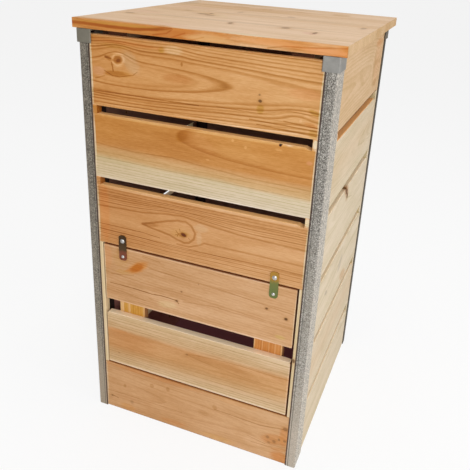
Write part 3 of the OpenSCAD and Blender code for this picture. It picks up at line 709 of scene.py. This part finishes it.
def wall_board_wood(wall, row, axes, place):
    """A pale board of a side or back wall, with its own grain. The top ones are warmer."""
    chance = random.Random(f"{wall} {row}")
    low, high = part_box(f"{wall}_board_{row}")
    low, high = low.z / MM, high.z / MM
    tan = srgb(214, 180, 140) if row == 6 else srgb(220, 202, 175)
    warm = srgb(208, 166, 120) if row == 6 else srgb(216, 192, 160)
    shades = ((low, tan), ((low + high) / 2, warm if chance.random() < 0.4 else tan), (high, tan))
    pins, swells = plain_knots(chance, low, high, 200)
    tones, tints, cracks = [], [], []
    if wall == "right":
        pins = []
    # Painted shade: a dark line along the board's lower edge, in the slot below it, darkest on the top
    # board
    if wall != "back" and row > 1:
        cracks.append(((-232, low + 1), (212, low + 1), 2.8, 3.2 if row == 6 else 1.3))
    if (wall, row) == ("right", 4):
        swells = [(-43, 630, 50, 18, 7)]
        pins = [(-53, 639, 10, 4.6, 1), (-43, 630, 9, 7, 1), (-30, 616, 7, 7, 0.9)]
        cracks += [((-52, 640), (-36, 624), 3, 2.4), ((-36, 620), (-25, 609), 2.4, 1.8),
                   ((-24, 608), (40, 590), 2, 0.3)]
    if (wall, row) == ("right", 3):
        tints += [(-8, 418, 22, 18, 0.4, srgb(186, 170, 150), 0.5),
                  (-155, 412, 16, 7, -0.4, srgb(180, 160, 138), 0.5),
                  (50, 354, 36, 16, -0.3, srgb(208, 168, 126), 0.6)]
    if (wall, row) == ("right", 6):
        swells = [(165, 880, 46, 60, 30), (175, 900, 30, 26, -14)]
        tones = [(-30, 895, 30, 10, -0.4, 0.1), (125, 900, 16, 40, 0.3, 0.14), (150, 858, 26, 7, 0, 0.18)]
        tints += [(170, 905, 50, 60, 0, srgb(210, 164, 118), 0.65),
                  (165, 955, 50, 8, 0, srgb(206, 150, 98), 0.6)]
    # Painted light on the slot floor and on the underside above it; the top board's top face gets painted
    # shade under the lid instead
    slot_top_light_and_shade = {5: srgb(250, 184, 112), 6: srgb(96, 50, 34)}.get(row, srgb(255, 234, 200))
    slot_light_and_shade = (("Z", 1, slot_top_light_and_shade, 0.9), ("Z", -1, SLOT_PAINTED_LIGHT, 0.6))
    # The inner face gets painted shade
    inside_shade = (*INNER_FACES[wall], INSIDE_PAINTED_SHADE_LOW if row < 3 else INSIDE_PAINTED_SHADE, INSIDE_SHADE_STRENGTH)
    return wood(
        f"wood_{wall}_{row}", axes, shades, (low + high) / 2 + chance.uniform(-50, 50),
        place + chance.uniform(30, 70), chance.uniform(-0.05, 0.05), 0, chance.uniform(3.8, 6),
        chance.uniform(7, 12), chance.uniform(0.16, 0.26), swells=swells, pins=pins, tones=tones,
        tints=tints, cracks=cracks, faces=(*slot_light_and_shade, inside_shade), gloss=0.64, seed=chance.uniform(10, 90),
    )


def dress_walls():
    for wall, axes, place in (("right", SIDE_GRAIN, -255), ("left", SIDE_GRAIN, 255),
                              ("back", FRONT_GRAIN, -235)):
        for row in range(1, 7):
            dress(f"{wall}_board_{row}", wall_board_wood(wall, row, axes, place))


# The lid

PINK = srgb(226, 184, 156)
TAN_SHADE = srgb(200, 170, 138)
WARM_BAND = srgb(212, 170, 124)
EDGE_TAN = srgb(212, 154, 96)
LID_SEAMS = (-304.35, -151.85, 0.65, 153.15, 305.65)
# The knots and the stains of each lid board, from the front one to the back one
LID_PINS = {
    1: ((4, -156, 6, 8, 0.5), (192, -172, 4, 14, 0.6)),
    2: ((-2, -144, 5, 10, 0.55), (120, -138, 9, 12, 0.5), (-250, -142, 12, 8, 0.4), (-108, -3, 5, 12, 0.6),
        (-118, -30, 15, 10, 0.45), (-95, -46, 12, 8, 0.4), (260, -14, 6, 16, 0.35)),
    3: ((68, 72, 10, 10, 0.25), (-66, 76, 6, 14, 0.2), (-180, 14, 10, 10, 0.2)),
    4: ((-30, 205, 5, 8, 0.2),),
}
LID_TINTS = {
    1: ((184, -182, 16, 18, -0.6, PINK, 0.6), (-160, -215, 40, 14, -0.3, PINK, 0.4),
        (-110, -262, 60, 22, 0, PINK, 0.4), (-210, -299, 140, 10, 0, EDGE_TAN, 0.7),
        (-75, -297, 24, 9, -0.6, EDGE_TAN, 0.6), (20, -299, 44, 7, 0, EDGE_TAN, 0.6),
        (90, -292, 60, 12, 0, CREAM, 0.5), (210, -300, 80, 6, 0, EDGE_TAN, 0.5)),
    2: ((0, -122, 220, 12, 0, TAN_SHADE, 0.35), (-240, -90, 40, 20, 0, PINK, 0.4),
        (-100, -20, 60, 22, -0.6, FIBRE_PALE, 0.4)),
    3: ((-200, 90, 70, 12, 0, PINK, 0.6), (-80, 142, 160, 9, 0, WARM_BAND, 0.5),
        (60, 40, 180, 20, 0, TAN_SHADE, 0.2)),
    4: ((-100, 195, 200, 34, 0, WARM_BAND, 0.6), (155, 230, 24, 24, 0, WARM_BAND, 0.5),
        (-60, 265, 150, 18, 0, TAN_SHADE, 0.4), (-275, 215, 24, 50, 0, srgb(190, 170, 148), 0.35)),
}


def lid_board_wood(number):
    """Pale planed wood. The front board shows its deep orange heart at the front edge."""
    pins, tints = LID_PINS[number], LID_TINTS[number]
    low, high = LID_SEAMS[number - 1:number + 1]
    pale, warm = srgb(233, 200, 168), srgb(225, 188, 150)
    edge = warm if number > 2 else pale
    shades = ((low, edge), ((low + high) / 2, pale), (high, edge))
    tones = [(0, high - 1, 300, 3.5, 0, 0.14), (0, low + 1.5, 300, 3, 0, 0.08)]
    swells = [(at, over, 60, 18, 5) for at, over, _, _, _ in pins]
    if number == 1:
        shades = ((low, srgb(209, 138, 66)), (low + 1.6, srgb(212, 143, 73)),
                  (low + 4, srgb(232, 200, 162)), (low + 14, pale), (high, pale))
    board = wood(f"wood_lid_{number}", LID_GRAIN, shades, low + 60, -955, 0.02, 0, 6, 12, 0.4,
                 fade=((0.97, 0.95, 0.92), (1.02, 1.03, 1.05)), swells=swells, pins=pins, tones=tones,
                 tints=tints, gloss=0.6, seed=20 + number)
    if number == 1:
        mark_lid_edge(board)
    return board


def mark_lid_edge(material):
    """Draws the lid's front edge: a dark band at the left, a swirl and a knot at the arris."""
    tree = material.node_tree
    shader = tree.nodes["Principled BSDF"]
    plain = shader.inputs["Base Color"].links[0].from_socket
    point = object_point(tree, FRONT_GRAIN)
    tints = ((-150, 994, 160, 8, 0, srgb(196, 124, 50), 0.6),
             (-50, 993, 50, 7, 0.1, srgb(194, 116, 48), 0.7), (-180, 999, 100, 3, 0, RESIN_YELLOW, 0.5),
             (20, 990, 50, 7, 0, srgb(222, 172, 112), 0.6), (140, 996, 60, 6, 0, srgb(222, 154, 92), 0.6),
             (250, 990, 40, 6, 0, srgb(224, 152, 96), 0.6))
    band = ((-287, 995), (-200, 993), (-140, 993), (-95, 997), (-60, 1003))
    right = ((140, 986), (170, 992), (215, 994), (287, 1000))
    cracks = chain(band, 4.4, 0.5) + chain(right, 2.2, 0.35)
    cracks += [((-100, 986), (-70, 992), 2.2, 0.22), ((-70, 992), (-56, 1001), 2.2, 0.25),
               ((-60, 985), (-30, 996), 2, 0.2), ((-20, 984), (10, 992), 1.6, 0.25)]
    colour = stained(tree, point, plain, tints)
    change = calc(tree, "ADD", darkest_crack(tree, point, cracks), 1)
    colour = deepened(tree, colour, change, 1, (1, 1, 1))
    front = ramp(tree, times(tree, normal(tree)["Y"], -1), 0.6, 0.8)
    tree.links.new(blend(tree, front, plain, colour), shader.inputs["Base Color"])


def dress_lid():
    for number in range(1, 5):
        dress(f"lid_board_{number}", lid_board_wood(number))
    # The batten's front end and its +X face get painted shade under the lid
    batten = wood("wood_lid_batten", LID_BATTEN_GRAIN, ((0, srgb(216, 184, 144)),), 200, -940, 0.02, 0, 4,
                  6, 0.24, faces=(("Y", -1, srgb(96, 46, 30), 0.9), ("X", 1, INSIDE_PAINTED_SHADE, 0.5)), seed=31)
    for side in ("left", "right"):
        dress("lid_batten_" + side, batten)


# Metal and plastic


def spangle_group():
    """The crystal pattern of hot-dip zinc, as a tone per crystal and fine specks."""
    outputs = {"Tone": "Float", "Speck": "Float"}
    group, given, result = new_group("spangle", {"Point": "Vector", "Crystal": "Float"}, outputs)
    scaled = vector_math(group, "DIVIDE", given["Point"], given["Crystal"])
    cells = add_node(group, "ShaderNodeTexVoronoi", {"Vector": scaled, "Scale": 1}, feature="F1")
    tone = add_node(group, "ShaderNodeSeparateColor", {0: cells.outputs["Color"]}).outputs[0]
    group.links.new(tone, result["Tone"])
    group.links.new(stretched_noise(group, given["Point"], (1.6, 1.6, 2.4), 2.2, 3, 0.7), result["Speck"])
    return group


SPANGLE = spangle_group()
STEEL_DARK = srgb(78, 72, 64)
STEEL_LIGHT = srgb(222, 218, 210)
# Painted light: the paler colours of the posts' feet and of their side faces
STEEL_FOOT_PAINTED_LIGHT = srgb(208, 196, 180)
STEEL_SIDE_PAINTED_LIGHT = srgb(224, 216, 204)
PATINA = srgb(150, 140, 120)
EDGE_DARK = srgb(58, 52, 46)
# Painted shade on the parts of the posts inside the bin
STEEL_INSIDE_PAINTED_SHADE = srgb(52, 26, 26)
ZINC_BRIGHT = srgb(206, 204, 200)

# Places on the posts, in millimetres sideways from the middle of the bin
POST_BEND = (272.6, 273.6)
POST_HEM, POST_EDGE = 257.2, 250.8
POST_GAP = 251.4
POST_COLUMN = 260.5
# Heights between which the foot turns paler with painted light, and the worn column stronger
PALE_FOOT = (330, 60)
COLUMN_RISE = (420, 700)
# The middle of the bin's depth, and half the size of the space inside its posts and of the painted shade on
# its ground
INSIDE_MIDDLE = -23.35
POST_INSIDE = (274, 260.2)
GROUND_INSIDE = (262, 265)


def inside_bin(tree, x, y, reach):
    """1 where a place is inside the bin, up to its reach from the middle."""
    near_x = calc(tree, "LESS_THAN", calc(tree, "ABSOLUTE", x), reach[0])
    away_y = calc(tree, "ABSOLUTE", minus(tree, y, INSIDE_MIDDLE))
    return times(tree, near_x, calc(tree, "LESS_THAN", away_y, reach[1]))


def dark_line(tree, value, place, half_width, soft=0.5):
    """1 on a thin line where the value is near the place."""
    away = calc(tree, "ABSOLUTE", minus(tree, value, place))
    return ramp(tree, away, half_width + soft, half_width - soft)


def galvanised_steel(name, shade, lit_low):
    """Spangled zinc sheet with a worn dark column, painted shade along the hem at its cut edge, its bend,
    its gap to the boards and inside the bin, and painted light on its side faces and foot.
    """
    material, tree, shader = new_material(name, Metallic=0.35)
    point = object_point(tree)
    spangle = use_group(tree, SPANGLE, {"Point": point, "Crystal": 2.6})
    speck = ramp(tree, spangle["Speck"], 0.32, 0.68)
    mixed = calc(tree, "MULTIPLY_ADD", spangle["Tone"], 0.45, times(tree, speck, 0.55))
    x, y, z = split(tree, point)
    out = calc(tree, "ABSOLUTE", x)
    cloud = stretched_noise(tree, point, (40, 40, 120), 8.8, 3)
    colour = blend(tree, mixed, STEEL_DARK, STEEL_LIGHT)
    colour = blend(tree, ramp(tree, cloud, 0.35, 0.75, 0, 0.3), colour, PATINA)
    # Painted light on the foot
    colour = blend(tree, ramp(tree, z, *PALE_FOOT, 0, lit_low), colour, STEEL_FOOT_PAINTED_LIGHT)
    # Painted light on the side faces
    sideways = calc(tree, "GREATER_THAN", calc(tree, "ABSOLUTE", normal(tree)["X"]), 0.8)
    frontal = minus(tree, 1, sideways)
    colour = blend(tree, times(tree, sideways, 0.95), colour, STEEL_SIDE_PAINTED_LIGHT)
    dots = ramp(tree, stretched_noise(tree, point, (4, 4, 3), 5.5, 2), 0.42, 0.55)
    # Painted shade: the dark dots at the bend and the dark hem lines; the dark column is wear
    bend = times(tree, ramp(tree, out, *POST_BEND), dots, 0.55)
    hem = calc(tree, "MAXIMUM", dark_line(tree, out, POST_HEM, 0.7), dark_line(tree, out, POST_EDGE, 1.1))
    column = times(tree, dark_line(tree, out, POST_COLUMN, 12), ramp(tree, z, *COLUMN_RISE, 0.25, 0.75),
                   minus(tree, 1, speck), frontal)
    worn_and_shaded = calc(tree, "MAXIMUM", calc(tree, "MAXIMUM", bend, column), times(tree, hem, frontal, 0.85))
    colour = blend(tree, worn_and_shaded, colour, EDGE_DARK)
    gap = times(tree, dark_line(tree, out, POST_GAP, 1.9), frontal, 0.8)
    colour = blend(tree, gap, colour, GAP_SHADOW)
    # Painted shade on the parts inside the bin
    inside = inside_bin(tree, out, y, POST_INSIDE)
    colour = blend(tree, times(tree, inside, 0.95), colour, STEEL_INSIDE_PAINTED_SHADE)
    colour = blend(tree, 1, colour, shade, "MULTIPLY")
    rough = ramp(tree, spangle["Tone"], 0, 1, 0.42, 0.62)
    surface(tree, shader, colour, rough, minus(tree, mixed, worn_and_shaded), 0.12, 0.5)
    return material


def cap_plastic(name, grey):
    material, tree, shader = new_material(name, Specular_IOR_Level=0.35)
    point = object_point(tree)
    grain = stretched_noise(tree, point, (0.8, 0.8, 0.8), 1.2, 3)
    cloud = stretched_noise(tree, point, (14, 14, 14), 3.4, 3)
    light = ramp(tree, cloud, 0.3, 0.7)
    colour = blend(tree, light, tuple(0.9 * c for c in grey), tuple(1.1 * c for c in grey))
    surface(tree, shader, colour, ramp(tree, cloud, 0.3, 0.7, 0.5, 0.64), grain, 0.12, 0.35)
    return material


def yellow_zinc(name, upper, middle, lower, low, high):
    """Chromated zinc, whose film changes colour down the plate."""
    material, tree, shader = new_material(name, Metallic=0.6)
    point = object_point(tree)
    height = split(tree, point)[2]
    film = stretched_noise(tree, point, (9, 9, 14), 4.4, 3)
    place = calc(tree, "MULTIPLY_ADD", minus(tree, film, 0.5), 0.35, ramp(tree, height, low, high))
    colour = blend(tree, ramp(tree, place, 0.15, 0.45), lower, middle)
    colour = blend(tree, ramp(tree, place, 0.55, 0.85), colour, upper)
    scratch = stretched_noise(tree, point, (0.7, 0.7, 9), 5.2, 2)
    surface(tree, shader, colour, ramp(tree, scratch, 0.3, 0.7, 0.36, 0.5), scratch, 0.05, 0.4)
    return material


def bright_zinc():
    material, tree, shader = new_material("bright_zinc", Metallic=0.7)
    point = object_point(tree)
    cloud = stretched_noise(tree, point, (3, 3, 3), 6.6, 3)
    light = ramp(tree, cloud, 0.3, 0.7)
    colour = blend(tree, light, tuple(0.7 * c for c in ZINC_BRIGHT), ZINC_BRIGHT)
    surface(tree, shader, colour, ramp(tree, cloud, 0.3, 0.7, 0.28, 0.42), cloud, 0.05, 0.4)
    return material


# For each corner, the painted shade that darkens its post, how much painted light pales its foot, and the
# grey of its cap, darker at the more shaded corners
CORNERS = {
    "front_right": ((1, 0.99, 0.97), 0.75, srgb(142, 140, 135)),
    "front_left": ((0.75, 0.7, 0.62), 0.85, srgb(116, 111, 98)),
    "back_right": ((0.16, 0.13, 0.1), 0.2, srgb(104, 96, 84)),
    "back_left": ((0.72, 0.66, 0.56), 0.3, srgb(116, 111, 98)),
}
# The film's colours on each turn plate, from its upper end to its lower one
PLATE_COLOURS = {
    "left": (srgb(70, 48, 20), srgb(84, 62, 34), srgb(128, 70, 48)),
    "right": (srgb(176, 132, 52), srgb(116, 122, 66), srgb(108, 120, 66)),
}


def dress_metal():
    for corner, (shade, lit_low, grey) in CORNERS.items():
        steel = galvanised_steel("galvanised_steel_" + corner, shade, lit_low)
        dress("post_" + corner, steel)
        dress("cap_" + corner, cap_plastic("cap_plastic_" + corner, grey))
    foot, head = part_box("turn_plate_left")
    for side, colours in PLATE_COLOURS.items():
        plate = yellow_zinc("yellow_zinc_" + side, *colours, foot.z / MM, head.z / MM)
        dress("turn_plate_" + side, plate)
    zinc = bright_zinc()
    for node in (
        "plate_knob_left", "plate_knob_right", "plate_pivot_left", "plate_pivot_right", "hatch_screws",
        "lid_screws", "hinge_pins", "hinge_wall_screws", "hinge_lid_screws", "hinge_wall_leaf_left",
        "hinge_wall_leaf_right", "hinge_lid_leaf_left", "hinge_lid_leaf_right",
    ):
        dress(node, zinc)


# Floor, light and camera

FLOOR_WHITE = (0.92, 0.92, 0.92)
# Painted shade on the ground inside the bin, with a faint painted glow
GROUND_PAINTED_SHADE = (0.14, 0.055, 0.05)
GROUND_PAINTED_GLOW = (0.03, 0.009, 0.01)
# How much of the floor's white the camera sees without shading
WHITE_SEEN = 0.85
# The studio's light on the object, and in its gloss
STUDIO_LIGHT, STUDIO_MIRRORED = 0.3, 0.5
LAMP_SIZE = 2
# Each lamp as (name, place, what it lights, watts)
LAMPS = (("key", (2, -3.9, 2.3), (0, -0.3, 0.5), 110), ("side", (4.2, -0.6, 1.8), (0, 0, 0.5), 52),
         ("top", (0, 0, 4), (0, 0, 1), 42))
SCENE = bpy.context.scene


def make_floor():
    """A pale floor with painted shade and a faint painted glow inside the bin, where its open bottom stands
    on the ground.
    """
    bpy.ops.mesh.primitive_plane_add(size=80)
    floor = bpy.context.object
    floor.name = "floor"
    material, tree, shader = new_material("floor", Roughness=0.9, Emission_Strength=1)
    x, y, _ = split(tree, object_point(tree))
    inside = inside_bin(tree, x, y, GROUND_INSIDE)
    # Painted shade and a faint painted glow inside the bin
    tree.links.new(blend(tree, inside, FLOOR_WHITE, GROUND_PAINTED_SHADE), shader.inputs["Base Color"])
    tree.links.new(blend(tree, inside, (0, 0, 0), GROUND_PAINTED_GLOW), shader.inputs["Emission Color"])
    seen = add_node(tree, "ShaderNodeLightPath").outputs["Is Camera Ray"]
    seen = times(tree, seen, minus(tree, 1, inside), WHITE_SEEN)
    white = add_node(tree, "ShaderNodeEmission", {"Color": rgba((1, 1, 1)), "Strength": 1}).outputs[0]
    mixed = add_node(tree, "ShaderNodeMixShader", {0: seen, 1: shader.outputs[0], 2: white})
    tree.links.new(mixed.outputs[0], tree.nodes["Material Output"].inputs["Surface"])
    floor.data.materials.append(material)


def make_world():
    """Even studio light that shows white behind the object and a softer grey in its gloss."""
    world = bpy.data.worlds.new("studio")
    world.use_nodes = True
    SCENE.world = world
    tree = world.node_tree
    path = add_node(tree, "ShaderNodeLightPath").outputs
    level = ramp(tree, path["Is Glossy Ray"], 0, 1, STUDIO_LIGHT, STUDIO_MIRRORED)
    level = calc(tree, "MAXIMUM", path["Is Camera Ray"], level)
    tree.links.new(level, tree.nodes["Background"].inputs["Strength"])
    tree.nodes["Background"].inputs["Color"].default_value = rgba((1, 1, 1))


def add_lamp(name, place, target, watts):
    lamp = bpy.data.lights.new(name, "AREA")
    lamp.size, lamp.energy = LAMP_SIZE, watts
    holder = bpy.data.objects.new(name, lamp)
    holder.location = place
    holder.rotation_euler = (Vector(target) - Vector(place)).to_track_quat("-Z", "Y").to_euler()
    SCENE.collection.objects.link(holder)


def make_camera():
    data = bpy.data.cameras.new("camera")
    data.lens = CAMERA_LENS
    data.shift_x, data.shift_y = CAMERA_SHIFT
    camera = bpy.data.objects.new("camera", data)
    place = Matrix.Translation(CAMERA_PLACE)
    for angle, axis in ((CAMERA_TURN, "Z"), (90 - CAMERA_DOWN, "X"), (CAMERA_ROLL, "Z")):
        place @= Matrix.Rotation(math.radians(angle), 4, axis)
    camera.matrix_world = place
    SCENE.collection.objects.link(camera)
    SCENE.camera = camera


dress_front()
dress_walls()
dress_lid()
dress_metal()
make_floor()
make_world()
for lamp in LAMPS:
    add_lamp(*lamp)
make_camera()
SCENE.view_settings.view_transform = "Standard"
